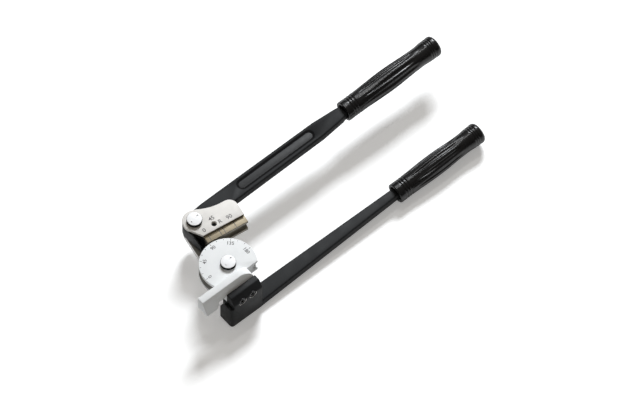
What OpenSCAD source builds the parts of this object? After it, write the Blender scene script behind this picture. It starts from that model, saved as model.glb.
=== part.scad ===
// Lever tube bender: a form wheel bolted to a fixed handle, a link that swings about the wheel's pin,
// and a lever with a grooved shoe that turns on the link's far end.
// The origin is the middle of the fixed handle's block on its rest face. X runs along the fixed handle
// to the grip, Y towards the lever, Z up from the rest face and square to the form wheel.

/* [Tube and bend] */
// Outside diameter of the tube that is bent
tube_d = 12.7; // [11:0.1:13.5]
// Bend radius at the tube's centre line
bend_r = 38.1; // [36:0.1:41]
// Radial room between the tube and the grooves
groove_play = 0.1; // [0.05:0.05:0.3]
// Room round the tube in the hook
hook_play = 0.5; // [0.3:0.1:1]
// Bend angle that the tool shows as drawn
rest_bend = 98; // [88:1:110]

/* [Form wheel] */
// Wheel axis from the middle of the block, along the handle
wheel_x = 10; // [6:0.5:12]
// Wheel axis from the middle of the block, across the handle
wheel_y = 38; // [36.5:0.5:42]
// Underside of the wheel above the rest face
wheel_z = 38; // [36:0.5:44]
// Thickness of the wheel
wheel_h = 22; // [20:0.5:26]
// How far the rim stays inside the bend line
rim_inset = 0.1; // [0.05:0.05:1]
// Wheel axis to the straight cut across the wheel
wheel_cut = 20.7; // [20:0.1:23]

/* [Hook arm] */
// Height of the arm above the wheel's face
arm_rise = 10; // [6:0.5:14]
// Wheel axis to the back of the arm
arm_back = 19; // [17.5:0.5:19.5]
// Width of the arm's top
arm_w = 10; // [8:0.5:12]
// Slant of the arm's front face
arm_slant = 23.6; // [15:0.1:28]
// Length of the rounded run-out at the arm's inner end
arm_runout = 19.6; // [12:0.2:26]
// Thickness of the hook's lip along the handle
lip_l = 22; // [14:0.5:24]
// Depth of the hook's lip below the arm's top
lip_drop = 22; // [18:0.5:24]
// Lead-in chamfer at the lip's inner corner
lip_lead = 4; // [1:0.5:5]
// Length of the foot that is bolted to the block
foot_l = 45.2; // [42:0.2:48]
// Wheel axis to the foot's bolted face
foot_y = 34; // [33:0.5:36]

/* [Fixed handle] */
// Length of the block
block_l = 52; // [50:0.5:60]
// Width of the block
block_w = 24; // [22:0.5:26]
// Height of the block
block_h = 59; // [54:0.5:60]
// Height of the ridge above the front face
ridge_z = 49; // [46:0.5:52]
// Width of the flat on top of the block
block_flat = 9; // [6:0.5:11]
// Chamfer on the block's back corner at the hook end
corner_cut = 8; // [3:0.5:10]
// Rounding of the block's front corner at the hook end
corner_r = 4.5; // [2:0.5:6]
// Thickness of the handle bars
bar_t = 13; // [11:0.5:14]
// Width of the fixed bar where it meets the grip
bar_end_w = 12.5; // [11:0.5:14]
// Fixed bar's length from the block to the grip
bar_l = 233; // [200:1:260]
// Upward slant of the fixed bar
bar_rise = 1.8; // [1.6:0.1:4]

/* [Bolted joint] */
// Shank diameter of the two socket screws
screw_d = 6; // [5:0.5:7]
// Head diameter of the socket screws
screw_head_d = 10; // [9:0.5:11]
// Head height of the socket screws
screw_head_h = 6; // [5:0.5:7]
// Hexagon socket across flats
screw_hex = 5; // [4:0.5:6]
// Distance between the two screws
screw_pitch = 17; // [15:0.5:18]
// Height of the screws above the foot's seat
screw_up = 5; // [4.5:0.1:6]
// Grip of the screws in the foot
screw_bite = 11; // [8:0.5:12]
// Diameter of the two dowels
dowel_d = 5; // [4:0.5:6]
// Distance between the two dowels
dowel_pitch = 35; // [34:0.5:37]
// Depth of a dowel on either side of a joint
dowel_bite = 6; // [4:0.5:7]

/* [Link and pins] */
// Shoe pin from the tangent point, along the groove (backwards)
pin_back = 4.5; // [2:0.1:7]
// Shoe pin from the wheel's axis, square to the groove
pin_v = 75.1; // [73:0.1:78]
// Diameter of the two pivot pins
pin_d = 12; // [10:0.5:13]
// Diameter of the pin heads
pin_head_d = 20.4; // [18:0.2:22]
// Height of the pin heads
pin_head_h = 5; // [3:0.5:6]
// Diameter of the spanner dimples in the pin heads
dimple_d = 1.8; // [1:0.1:2.4]
// Distance between the dimples of one head
dimple_pitch = 12.4; // [10:0.2:13]
// Thickness of the link
link_t = 9; // [7:0.5:11]
// Radius of the link round the wheel pin
hub_r = 22; // [18:0.5:23.5]
// Radius of the link round the shoe pin
nose_r = 14.5; // [12.5:0.5:15.5]
// How far the link's straight sides lie inside its rounds
waist = 0.4; // [0.2:0.1:2]
// Wall of the pivot bushes
bush_wall = 2.5; // [1.5:0.5:3.5]
// Radial running room of a pin in its bush
run_fit = 0.05; // [0.02:0.01:0.1]
// Gap between faces that turn against each other
face_gap = 0.1; // [0.05:0.05:0.3]
// Diameter of the thrust washers
washer_d = 25; // [22:0.5:28]
// Thickness of the thrust washers
washer_t = 1; // [0.8:0.1:2]
// Thickness of the washers over the nuts
nut_washer_t = 1.5; // [1:0.1:2.5]
// Nut across flats
nut_af = 19; // [17:0.5:21]
// Thickness of the nuts
nut_t = 8; // [6:0.5:10]
// Pin end beyond the nut
pin_tail = 1.5; // [0.5:0.5:3]

/* [Shoe] */
// Length of the shoe along the tube
shoe_l = 60.8; // [56:0.2:64]
// Shoe's start before the tangent point
shoe_lead = 5.7; // [4:0.1:7]
// Gap from the bend line to the shoe's face
shoe_gap = 1.9; // [1:0.1:3]
// Depth of the shoe, square to the tube
shoe_w = 22; // [20.5:0.5:23]
// Width of the marked ledge in front of the cover plate
ledge_w = 9.8; // [8:0.2:11]
// Thickness of the cover plate
plate_t = 4; // [3:0.5:6]
// Radius of the cover plate round the shoe pin
plate_r = 16; // [14.5:0.5:16.5]
// Radius of the cover plate's outer corner
plate_corner = 12; // [8:0.5:13]
// Radius of the cover plate's hollow edge
plate_hollow = 70; // [60:1:80]
// Screw hole's place from the shoe's start
sight_u = 20.2; // [18:0.2:24]
// Diameter of the sunk screw's hole
sight_d = 7; // [6:0.2:8]
// Shank diameter of the small screws
small_d = 4; // [3:0.5:5]
// Head height of the small screws
small_head_h = 4; // [3:0.5:5]

/* [Lever] */
// Angle of the lever to the groove
lever_cant = 8; // [4:0.5:12]
// Lever's axis beside the shoe pin
lever_off = 5.8; // [3:0.2:7]
// Radius of the lever's head
head_r = 15.8; // [14:0.2:16]
// Width of the cheek at the shoe's start
cheek_w = 7.6; // [5:0.2:8]
// Wall left round the tube pocket in the cheek
cheek_wall = 1.6; // [1.2:0.1:3]
// Shoe pin to the tube pocket in the cheek
pocket_in = 14.5; // [13:0.5:17]
// Shoe pin to the lever's shoulder under the shoe's end
shoulder_x = 58; // [54:0.5:62]
// Width of the lever at the shoulder
lever_w = 26; // [22:0.2:27]
// Lever's back edge beside the shoe pin
lever_back = 17.8; // [16.5:0.1:18.5]
// Width of the lever where it meets the grip
lever_end_w = 18.4; // [14:0.2:19]
// Neck's middle beside the grip's axis
neck_off = 0.7; // [0:0.1:1]
// Shoe pin to the grip
lever_l = 255; // [245:1:280]
// Upward slant of the lever
lever_rise = 1; // [0.5:0.1:1.5]
// Shoe pin to the lever's neck
neck_x = 211; // [205:1:225]
// Width of the lever before the neck
neck_w = 24.4; // [20:0.2:25]
// Neck's back edge beside the shoe pin
neck_back = 17.2; // [16:0.1:18]
// Panel recess: distance from the shoe pin
panel_x = 85; // [80:1:90]
// Panel recess: length
panel_l = 111; // [90:1:113]
// Panel recess: width at its mouth
panel_w = 16.4; // [13:0.2:17]
// Panel recess: width of its floor
panel_floor_w = 10; // [7:0.5:12]
// Panel recess: its middle beside the grip's axis
panel_off = 0.6; // [0:0.1:1]
// Panel recess: depth
panel_depth = 1.7; // [0.5:0.1:2.5]

/* [Grips] */
// Length of the fixed handle's grip
lower_grip_l = 142; // [130:1:160]
// Length of the lever's grip
upper_grip_l = 156; // [135:1:165]
// Radius at the front ring
grip_front_r = 13.9; // [13:0.1:14.4]
// Radius at the swell
grip_swell_r = 15.3; // [14:0.1:16]
// Radius at the waist
grip_waist_r = 13.4; // [12:0.1:13.9]
// Radius at the flared end
grip_end_r = 14.5; // [13.5:0.1:15.5]
// Diameter of the tang in the grip
tang_d = 12; // [10:0.5:13]
// Diameter of the hollow round the tang at the grip's mouth
mouth_d = 21; // [20:0.5:22]
// Depth of that hollow
mouth_depth = 6; // [3:0.5:9]
// Closed end of the grip
grip_cap = 14; // [8:1:20]
// Number of long flutes
flutes = 10; // [6:1:12]
// Radius of a flute
flute_r = 2.4; // [1.5:0.1:3]
// Depth of the ring grooves
ring_cut = 0.9; // [0.4:0.1:1.3]
// Distance between ring grooves
ring_pitch = 4; // [3:0.5:5]

/* [Hidden] */
$fn = 96;

over = 1;              // cutters run this far past the faces that they cut
fit = 0.05;            // radial room of a pressed or screwed piece
seat = 0.1;            // room round the shoe in the lever's pocket

wheel_top = wheel_z + wheel_h;
groove_z = wheel_z + wheel_h / 2;
groove_r = tube_d / 2 + groove_play;
rim_r = bend_r - rim_inset;
hook_r = tube_d / 2 + hook_play;

// Hook arm, from the wheel's axis
lip_in_x = -bend_r - hook_r;
lip_end_x = lip_in_x - lip_l;
foot_x = -bend_r + hook_r;
foot_end_x = foot_x + foot_l;
arm_top = wheel_top + arm_rise;
lip_z = arm_top - lip_drop;
seat_z = groove_z - hook_r;
round_x = foot_end_x - arm_runout;
round_r = (pow(arm_runout, 2) + pow(arm_rise, 2)) / (2 * arm_rise);

// Fixed handle
step_x = wheel_x + foot_x;
step_y = wheel_y - foot_y;
screw_z = seat_z + screw_up;
screw_mid = step_x + foot_l / 2;
screw_front = -block_w / 2;
bar_root = 2;

// Stack under the wheel and the lever
link_top = wheel_z - washer_t - face_gap;
link_z = link_top - link_t;
nut_washer_z = link_z - face_gap - nut_washer_t;
nut_z = nut_washer_z - nut_t;
pin_end_z = nut_z - pin_tail;
plate_top = wheel_top + plate_t;
bush_r = pin_d / 2 + run_fit + bush_wall;
link_l = norm([pin_back, pin_v]);
link_dir = atan2(pin_v, -pin_back);

// Shoe, from the shoe pin: u along the groove and v away from the wheel
shoe_u = pin_back - shoe_lead;
shoe_end_u = shoe_u + shoe_l;
face_v = bend_r + shoe_gap - pin_v;
shoe_back_v = face_v + shoe_w;
ledge_v = face_v + ledge_w;
sight_v = ledge_v + sight_d + 1;
bar_axis_z = groove_z + 1;
plate_screw_v = shoe_back_v + 7;

// Cheek of the lever's head: corner at the wheel, and the start of its straight outer side
cheek_u = shoe_u - cheek_w;
cheek_v = face_v + 0.5;
side_u = -head_r + 0.4;
side_v = -head_r / 4;
pocket_lean = (cheek_u - side_u) / (cheek_v - side_v);

// Moves to the wheel's axis
module at_wheel() {
    translate([wheel_x, wheel_y, 0]) children();
}

// Moves to the shoe pin, with X along the shoe's groove
module at_pin() {
    at_wheel() rotate(90 - rest_bend) translate([-pin_back, pin_v, 0]) children();
}

// Moves to the shoe pin, with X along the lever
module at_lever() {
    at_pin() rotate(lever_cant) children();
}

// Extrudes a Y-Z outline along X
module along_x(start, length) {
    translate([start, 0, 0]) rotate([90, 0, 90]) linear_extrude(length) children();
}

// Extrudes an X-Z outline along Y
module along_y(start, length) {
    translate([0, start + length, 0]) rotate([90, 0, 0]) linear_extrude(length) children();
}

// A round bar or hole along Y
module rod_y(x, y, z, radius, length) {
    translate([x, y, z]) rotate([-90, 0, 0]) cylinder(r = radius, h = length);
}

// A flat ring
module washer(z, outer, inner, thick) {
    translate([0, 0, z]) difference() {
        cylinder(r = outer, h = thick);
        translate([0, 0, -over]) cylinder(r = inner, h = thick + 2 * over);
    }
}

// Headed pivot pin with two spanner dimples, head on the face at head_z
module pivot_pin(head_z) {
    difference() {
        union() {
            translate([0, 0, pin_end_z]) cylinder(r = pin_d / 2, h = head_z - pin_end_z + over);
            translate([0, 0, head_z]) cylinder(r = pin_head_d / 2, h = pin_head_h);
        }
        for (side = [-1, 1])
            rotate(20)
                translate([side * dimple_pitch / 2, 0, head_z + pin_head_h - dimple_d / 2])
                    cylinder(r = dimple_d / 2, h = dimple_d);
    }
}

module pivot_nut() {
    translate([0, 0, nut_z]) difference() {
        cylinder(r = nut_af / 2 / cos(30), h = nut_t, $fn = 6);
        translate([0, 0, -over]) cylinder(r = pin_d / 2 + fit, h = nut_t + 2 * over);
    }
}

// Form wheel with its groove, cut straight on the handle's side
module wheel_disc() {
    intersection() {
        rotate_extrude() difference() {
            translate([0, wheel_z]) square([rim_r, wheel_h]);
            translate([bend_r, groove_z]) circle(r = groove_r);
        }
        translate([-rim_r - over, -wheel_cut, wheel_z - over])
            cube([2 * rim_r + 2 * over, rim_r + wheel_cut + over, wheel_h + 2 * over]);
    }
}

// Side view of the hook arm: lip, gap for the tube, foot and rounded run-out
module arm_side() {
    difference() {
        union() {
            translate([lip_end_x, seat_z]) square([round_x - lip_end_x, arm_top - seat_z]);
            intersection() {
                translate([round_x, arm_top - round_r]) circle(r = round_r);
                translate([round_x - over, seat_z]) square([arm_runout + over, arm_top - seat_z]);
            }
            translate([foot_x, seat_z]) square([foot_l, wheel_top - seat_z]);
        }
        translate([lip_in_x, seat_z - over]) square([2 * hook_r, 2 * hook_r + over]);
        polygon([
            [lip_end_x - over, seat_z - over], [lip_in_x + over, seat_z - over],
            [lip_in_x + over, lip_z + lip_lead + over], [lip_in_x - lip_lead, lip_z], [lip_end_x - over, lip_z]
        ]);
    }
}

// End view of the hook arm with its slanted front
module arm_section() {
    top_y = -arm_back - arm_w;
    polygon([
        [-arm_back, arm_top + over], [top_y, arm_top + over], [top_y, arm_top],
        [top_y - (arm_top - seat_z) * tan(arm_slant), seat_z], [-arm_back, seat_z]
    ]);
}

module hook_arm() {
    reach = arm_w + (arm_top - seat_z) * tan(arm_slant) + over;
    difference() {
        intersection() {
            along_y(-arm_back - reach, reach) arm_side();
            along_x(lip_end_x - over, foot_end_x - lip_end_x + 2 * over) arm_section();
        }
        translate([foot_x - fit, -foot_y - reach, seat_z - over])
            cube([foot_l + over, reach, block_h - seat_z + over]);
    }
}

module form_wheel() {
    color("gainsboro") difference() {
        at_wheel() {
            wheel_disc();
            hook_arm();
        }
        at_wheel() translate([0, 0, wheel_z - over]) cylinder(r = pin_d / 2 + fit, h = wheel_h + 2 * over);
        for (side = [-1, 1]) {
            rod_y(screw_mid + side * screw_pitch / 2, step_y - over, screw_z, screw_d / 2 + fit,
                screw_bite + over);
            rod_y(screw_mid + side * dowel_pitch / 2, step_y - over, screw_z, dowel_d / 2 + fit,
                dowel_bite + over);
        }
    }
}

module wheel_pin() {
    color("whitesmoke") at_wheel() pivot_pin(wheel_top);
}

module wheel_washer() {
    color("dimgray") at_wheel() washer(wheel_z - washer_t, washer_d / 2, pin_d / 2 + fit, washer_t);
}

module wheel_nut_washer() {
    color("silver") at_wheel() washer(nut_washer_z, washer_d / 2, pin_d / 2 + fit, nut_washer_t);
}

module wheel_nut() {
    color("silver") at_wheel() pivot_nut();
}

// Flat bar through stations [place, middle, width], with a round tang from its end into the grip
module bar(stations, grip_l) {
    n = len(stations) - 1;
    translate([0, 0, -bar_t / 2]) linear_extrude(bar_t) polygon(concat(
        [for (k = [0:n]) [stations[k][0], stations[k][1] + stations[k][2] / 2]],
        [for (k = [n:-1:0]) [stations[k][0], stations[k][1] - stations[k][2] / 2]]
    ));
    translate([stations[n][0] - over, stations[n][1], 0]) rotate([0, 90, 0])
        cylinder(r = tang_d / 2, h = grip_l - grip_cap - mouth_depth + over);
}

module at_bar() {
    translate([block_l / 2 - bar_root, 0, 0]) rotate([0, -bar_rise, 0]) translate([0, 0, bar_t / 2]) children();
}

module lower_handle() {
    half = block_w / 2;
    color("#2b2d2f") difference() {
        union() {
            along_x(-block_l / 2, block_l) polygon([
                [-half, 0], [half, 0], [half, seat_z], [-half, seat_z]
            ]);
            along_x(step_x, block_l / 2 - step_x) polygon([
                [-half, seat_z - over], [-half, ridge_z], [step_y - block_flat, block_h],
                [step_y, block_h], [step_y, seat_z - over]
            ]);
            at_bar()
                bar([[0, 0, block_w], [bar_l + bar_root + mouth_depth - over, 0, bar_end_w]], lower_grip_l);
        }
        along_x(-block_l / 2 - over, step_x + block_l / 2 + over) polygon([
            [half + over, seat_z - 2 * corner_cut - 2 * over], [half + over, seat_z + over],
            [half - corner_cut - over / 2, seat_z + over]
        ]);
        translate([-block_l / 2, -half, -over]) linear_extrude(seat_z + 2 * over) difference() {
            translate([-over, -over]) square(corner_r + over);
            translate([corner_r, corner_r]) circle(r = corner_r);
        }
        for (side = [-1, 1]) {
            rod_y(screw_mid + side * screw_pitch / 2, screw_front - over, screw_z, screw_d / 2 + fit,
                block_w + over);
            rod_y(screw_mid + side * screw_pitch / 2, screw_front - over, screw_z, screw_head_d / 2 + 0.5,
                screw_head_h + 2 * over);
            rod_y(screw_mid + side * dowel_pitch / 2, step_y - dowel_bite, screw_z, dowel_d / 2 + fit,
                dowel_bite + over);
        }
    }
}

// Two socket screws through the block into the foot
module arm_screws() {
    head_y = screw_front + over;
    color("#1d1f21") for (side = [-1, 1]) {
        x = screw_mid + side * screw_pitch / 2;
        difference() {
            union() {
                rod_y(x, head_y, screw_z, screw_head_d / 2, screw_head_h);
                rod_y(x, head_y + over, screw_z, screw_d / 2, step_y + screw_bite - head_y - 2 * over);
            }
            translate([x, head_y - over, screw_z]) rotate([-90, 0, 0])
                cylinder(r = screw_hex / 2 / cos(30), h = screw_head_h / 2 + over, $fn = 6);
        }
    }
}

module arm_dowels() {
    color("silver") for (side = [-1, 1])
        rod_y(screw_mid + side * dowel_pitch / 2, step_y - dowel_bite, screw_z, dowel_d / 2, 2 * dowel_bite);
}

// Outside of a grip: radius at a share of its length, eased between the named radii
knots = [[0, grip_front_r], [0.12, grip_front_r], [0.47, grip_swell_r], [0.81, grip_waist_r],
    [0.92, grip_end_r], [0.97, grip_end_r], [1, grip_end_r - 2.4]];
function ease(t) = (1 - cos(180 * t)) / 2;
function span_of(s, i = 0) = i >= len(knots) - 2 || s <= knots[i + 1][0] ? i : span_of(s, i + 1);
function grip_r(s) = let (i = span_of(s), a = knots[i], b = knots[i + 1])
    a[1] + (b[1] - a[1]) * ease((s - a[0]) / (b[0] - a[0]));

module grip(grip_l) {
    steps = 50;
    front_rings = [1, 2, 3];
    end_rings = [0, 1, 2];
    bore_r = tang_d / 2 + fit;
    rotate([0, 90, 0]) difference() {
        rotate_extrude() polygon(concat(
            [[0, 0]], [for (i = [0:steps]) [grip_r(i / steps), grip_l * i / steps]], [[0, grip_l]]));
        translate([0, 0, -over]) cylinder(r = bore_r, h = grip_l - grip_cap + over);
        translate([0, 0, -over]) cylinder(r = mouth_d / 2, h = mouth_depth + over);
        for (k = front_rings) ring_groove(1.6 * ring_pitch + k * ring_pitch, grip_l);
        for (k = end_rings) ring_groove(0.92 * grip_l + (k - 1) * ring_pitch * 0.8, grip_l);
        for (k = [0:flutes - 1])
            rotate(360 * k / flutes)
                translate([grip_swell_r + flute_r - 1.7, 0, 0.19 * grip_l])
                    cylinder(r = flute_r, h = 0.6 * grip_l, $fn = 24);
    }
}

module ring_groove(z, grip_l) {
    rotate_extrude() translate([grip_r(z / grip_l) + 0.2, z]) circle(r = ring_cut + 0.2, $fn = 24);
}

module lower_grip() {
    color("#151515") at_bar() translate([bar_l + bar_root, 0, 0]) grip(lower_grip_l);
}

// Pear-shaped link from the wheel pin to the shoe pin, its straight sides a little inside both rounds
module link_plate() {
    lean = acos((hub_r - nose_r) / link_l);
    side = [cos(lean), sin(lean)];
    other = [cos(lean), -sin(lean)];
    nose = [link_l, 0];
    color("lightgray") at_wheel() rotate(90 - rest_bend + link_dir) difference() {
        union() {
            translate([0, 0, link_z]) cylinder(r = hub_r, h = link_t);
            translate([link_l, 0, link_z]) cylinder(r = nose_r, h = link_t);
            translate([0, 0, link_z]) linear_extrude(link_t) polygon([
                (hub_r - waist) * side, nose + (nose_r - waist) * side,
                nose + (nose_r - waist) * other, (hub_r - waist) * other
            ]);
        }
        for (x = [0, link_l])
            translate([x, 0, link_z - over]) cylinder(r = bush_r + fit, h = link_t + 2 * over);
    }
}

module bush() {
    washer(link_z, bush_r, pin_d / 2 + run_fit, link_t);
}

module wheel_bush() {
    color("darkgoldenrod") at_wheel() bush();
}

module shoe_bush() {
    color("darkgoldenrod") at_pin() bush();
}

// Outline of the lever's head: eye, cheek before the shoe and web behind it
module head_outline() {
    difference() {
        union() {
            circle(r = head_r);
            polygon([
                [cheek_u, cheek_v], [shoe_u + over, cheek_v], [shoe_u + over, head_r / 2],
                [0, head_r], [-head_r, 0], [side_u, side_v]
            ]);
            polygon([
                [shoe_u, shoe_back_v + seat], [shoulder_x, shoe_back_v + seat], [shoulder_x + 1, 0],
                [0.7 * shoulder_x, head_r / 2], [0, head_r]
            ]);
        }
        translate([shoe_u - seat, face_v - over])
            square([shoe_l + 2 * seat + over, shoe_w + over + seat]);
    }
}

// Pocket for the tube in the cheek, open at the top, and the slant of the cheek's wall beside it
module cheek_pocket() {
    low_v = face_v - 2 * over;
    translate([0, 0, seat_z]) linear_extrude(wheel_top - seat_z + over) polygon([
        for (v = [low_v, -pocket_in]) [side_u + (v - side_v) * pocket_lean + cheek_wall, v],
        [shoe_u, ledge_v - 2 * over], [shoe_u, low_v]
    ]);
    along_x(-head_r - over, head_r + over + shoe_u) polygon([
        [-pocket_in - over, wheel_top + over], [low_v, wheel_top + over], [low_v, groove_z - 4 * over]
    ]);
}

module lever_bar() {
    front_y = lever_back - lever_w;
    root_w = head_r - front_y;
    translate([0, 0, bar_axis_z]) rotate([0, -lever_rise, 0]) difference() {
        bar([[0, front_y + root_w / 2, root_w], [1.5 * head_r, front_y + lever_w / 2, lever_w],
            [shoulder_x, front_y + lever_w / 2, lever_w], [neck_x, neck_back - neck_w / 2, neck_w],
            [lever_l - 8, lever_off - neck_off, lever_end_w],
            [lever_l + mouth_depth - over, lever_off, bar_end_w]],
            upper_grip_l);
        translate([panel_x, lever_off - panel_off, bar_t / 2 - panel_depth]) panel_recess();
    }
}

// Long recess with sloping sides, run on past its mouth
module panel_recess() {
    deep = panel_depth + over;
    foot = panel_floor_w / 2;
    mouth = foot + (panel_w / 2 - foot) * deep / panel_depth;
    along_x(0, panel_l) polygon([[-foot, 0], [foot, 0], [mouth, deep], [-mouth, deep]]);
    for (x = [0, panel_l])
        translate([x, 0, 0]) cylinder(r1 = foot, r2 = mouth, h = deep);
}

module upper_handle() {
    color("#2b2d2f") difference() {
        union() {
            at_pin() translate([0, 0, wheel_z]) linear_extrude(wheel_h) head_outline();
            at_lever() lever_bar();
        }
        at_pin() translate([0, 0, wheel_z - over]) cylinder(r = pin_d / 2 + fit, h = wheel_h + 2 * over);
        at_wheel() rotate_extrude() translate([bend_r, groove_z]) circle(r = hook_r);
        at_pin() translate([-head_r - cheek_w, bend_r - pin_v, groove_z]) rotate([0, 90, 0])
            cylinder(r = hook_r, h = head_r + cheek_w);
        at_pin() cheek_pocket();
        at_pin() shoe_dowel_set(fit);
        at_pin() plate_screw_set(fit);
    }
}

// Dowels between the lever's web and the shoe, r bigger by grow
module shoe_dowel_set(grow) {
    for (share = [0.18, 0.76])
        rod_y(shoe_u + share * shoe_l, shoe_back_v - dowel_bite, groove_z, dowel_d / 2 + grow, 2 * dowel_bite);
}

// Screws from below through the lever's web into the cover plate, r bigger by grow
module plate_screw_set(grow) {
    for (share = [0.5, 0.9])
        translate([shoe_u + share * shoe_l - 2, plate_screw_v, 0]) {
            translate([0, 0, wheel_z - (grow > 0 ? over : 0)])
                cylinder(r = small_d + grow, h = small_head_h + (grow > 0 ? over : 0));
            translate([0, 0, wheel_z]) cylinder(r = small_d / 2 + grow, h = wheel_h + plate_t / 2 + grow);
        }
}

module shoe_block() {
    color("#b9a886") at_pin() difference() {
        translate([shoe_u, face_v, wheel_z]) cube([shoe_l, shoe_w, wheel_h]);
        translate([shoe_u - over, bend_r - pin_v, groove_z]) rotate([0, 90, 0])
            cylinder(r = groove_r, h = shoe_l + 2 * over);
        translate([shoe_u + sight_u, sight_v, wheel_top - small_head_h - over])
            cylinder(r = sight_d / 2, h = small_head_h + 2 * over);
        translate([shoe_u + sight_u, sight_v, groove_z]) cylinder(r = small_d / 2 + fit, h = wheel_h);
        shoe_dowel_set(fit);
    }
}

// Outline of the cover plate: round the pin, straight along the ledge, hollow along the lever
module plate_outline() {
    corner_u = shoe_end_u + 0.8 - plate_corner;
    corner_v = 5 - plate_corner;
    hollow_u = 44;
    difference() {
        union() {
            circle(r = plate_r);
            polygon([
                [-0.89 * plate_r, -0.456 * plate_r], [shoe_u - 0.8, ledge_v], [shoe_end_u - 0.2, ledge_v],
                [shoe_end_u + 0.8, corner_v], [corner_u, 5], [hollow_u, 5], [0, plate_r]
            ]);
            translate([corner_u, corner_v]) circle(r = plate_corner);
        }
        translate([hollow_u, 5 + plate_hollow]) circle(r = plate_hollow);
    }
}

module shoe_plate() {
    color("#d8d4cf") at_pin() difference() {
        translate([0, 0, wheel_top]) linear_extrude(plate_t) difference() {
            plate_outline();
            circle(r = pin_d / 2 + fit);
            translate([shoe_u + sight_u, sight_v]) circle(r = sight_d / 2);
        }
        plate_screw_set(fit);
    }
}

// Sunk screw that clamps the shoe
module shoe_screw() {
    top = wheel_top - over;
    color("#1d1f21") at_pin() translate([shoe_u + sight_u, sight_v, 0]) difference() {
        union() {
            translate([0, 0, top - small_head_h]) cylinder(r = sight_d / 2 - 2 * fit, h = small_head_h);
            translate([0, 0, groove_z + over]) cylinder(r = small_d / 2, h = top - groove_z - 2 * over);
        }
        translate([0, 0, top - small_head_h / 2])
            cylinder(r = small_d / 2 / cos(30), h = small_head_h, $fn = 6);
    }
}

module shoe_dowels() {
    color("silver") at_pin() shoe_dowel_set(0);
}

module plate_screws() {
    color("#1d1f21") at_pin() plate_screw_set(0);
}

module shoe_pin() {
    color("whitesmoke") at_pin() pivot_pin(plate_top);
}

module shoe_washer() {
    color("dimgray") at_pin() washer(wheel_z - washer_t, washer_d / 2, pin_d / 2 + fit, washer_t);
}

module shoe_nut_washer() {
    color("silver") at_pin() washer(nut_washer_z, washer_d / 2, pin_d / 2 + fit, nut_washer_t);
}

module shoe_nut() {
    color("silver") at_pin() pivot_nut();
}

module upper_grip() {
    color("#151515") at_lever() translate([0, 0, bar_axis_z]) rotate([0, -lever_rise, 0])
        translate([lever_l, lever_off, 0]) grip(upper_grip_l);
}

form_wheel();
wheel_pin();
wheel_washer();
wheel_nut_washer();
wheel_nut();
lower_handle();
arm_screws();
arm_dowels();
lower_grip();
link_plate();
wheel_bush();
shoe_bush();
upper_handle();
shoe_block();
shoe_plate();
shoe_screw();
shoe_dowels();
plate_screws();
shoe_pin();
shoe_washer();
shoe_nut_washer();
shoe_nut();
upper_grip();
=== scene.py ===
import bmesh
import bpy
import math
from mathutils import Matrix, Vector


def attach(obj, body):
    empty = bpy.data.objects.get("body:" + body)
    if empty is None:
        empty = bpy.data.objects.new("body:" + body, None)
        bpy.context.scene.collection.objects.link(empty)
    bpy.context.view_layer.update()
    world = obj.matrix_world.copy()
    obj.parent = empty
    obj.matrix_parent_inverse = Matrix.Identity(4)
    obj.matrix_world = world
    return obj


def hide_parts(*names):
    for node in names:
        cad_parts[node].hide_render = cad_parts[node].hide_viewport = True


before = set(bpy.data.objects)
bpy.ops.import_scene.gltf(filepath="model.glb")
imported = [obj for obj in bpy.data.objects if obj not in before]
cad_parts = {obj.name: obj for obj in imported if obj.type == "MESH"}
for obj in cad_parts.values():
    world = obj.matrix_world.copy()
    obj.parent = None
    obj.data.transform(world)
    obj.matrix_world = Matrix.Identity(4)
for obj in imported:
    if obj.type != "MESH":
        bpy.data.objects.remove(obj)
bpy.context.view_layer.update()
print("frame loaded,", len(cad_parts), "nodes")

# places in mm, the same as the solids'
layout = {
    "wheelAxis": (10.0, 38.0), "wheelLow": 38.0, "wheelTop": 60.0, "grooveMid": 49.0,
    "bendLine": 38.1, "grooveRadius": 6.45, "hookRadius": 6.85, "pinBore": 6.05,
    "shoeTurn": -8.0, "shoePin": (-4.5, 75.1), "leverTurn": 8.0, "leverHeight": 50.0, "leverRise": 1.0,
    "barStart": 24.0, "barRise": 1.8, "barHalf": 6.5,
    "linkTop": 36.9, "linkThick": 9.0, "coverThick": 4.0,
}
low, top, mid = layout["wheelLow"], layout["wheelTop"], layout["grooveMid"]


def turned(axis, degrees):
    return Matrix.Rotation(math.radians(degrees), 4, axis)


def moved(x, y, z):
    return Matrix.Translation((x, y, z))


toMetres = Matrix.Scale(0.001, 4)
blockPlace = Matrix.Identity(4)
wheelPlace = moved(*layout["wheelAxis"], 0)
pinPlace = wheelPlace @ turned("Z", layout["shoeTurn"]) @ moved(*layout["shoePin"], 0)
leverPlace = pinPlace @ turned("Z", layout["leverTurn"])
leverBarPlace = leverPlace @ moved(0, 0, layout["leverHeight"]) @ turned("Y", -layout["leverRise"])
lowerBarPlace = moved(layout["barStart"], 0, 0) @ turned("Y", -layout["barRise"])
lowerBarPlace = lowerBarPlace @ moved(0, 0, layout["barHalf"])
standUp = turned("X", 90)  # plan outlines become side views, drawn towards -Y
endView = turned("Z", 90) @ turned("X", 90)  # plan outlines become end views, drawn towards +X

# shader groups that several finishes share
effects = {
    "blotchShare": 0.7, "grainShare": 0.3, "blotchDetail": 5.0, "grainDetail": 3.0, "toneBand": (0.36, 0.66),
    "wearReach": 0.0008, "wearSamples": 6, "wearBand": (0.985, 0.86),
    "patchScale": 260.0, "patchDetail": 6.0, "patchBand": (0.4, 0.62),
    "strokeStretch": (1.0, 42.0, 42.0), "strokeDetail": 4.0, "strokeBreak": 0.6, "noiseBreak": 0.55,
}
colourMix = {"first": 6, "second": 7, "result": 2}  # a Mix node's colour sockets
socketKinds = {1: "NodeSocketFloat", 3: "NodeSocketVector", 4: "NodeSocketColor"}  # by number of values


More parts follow.
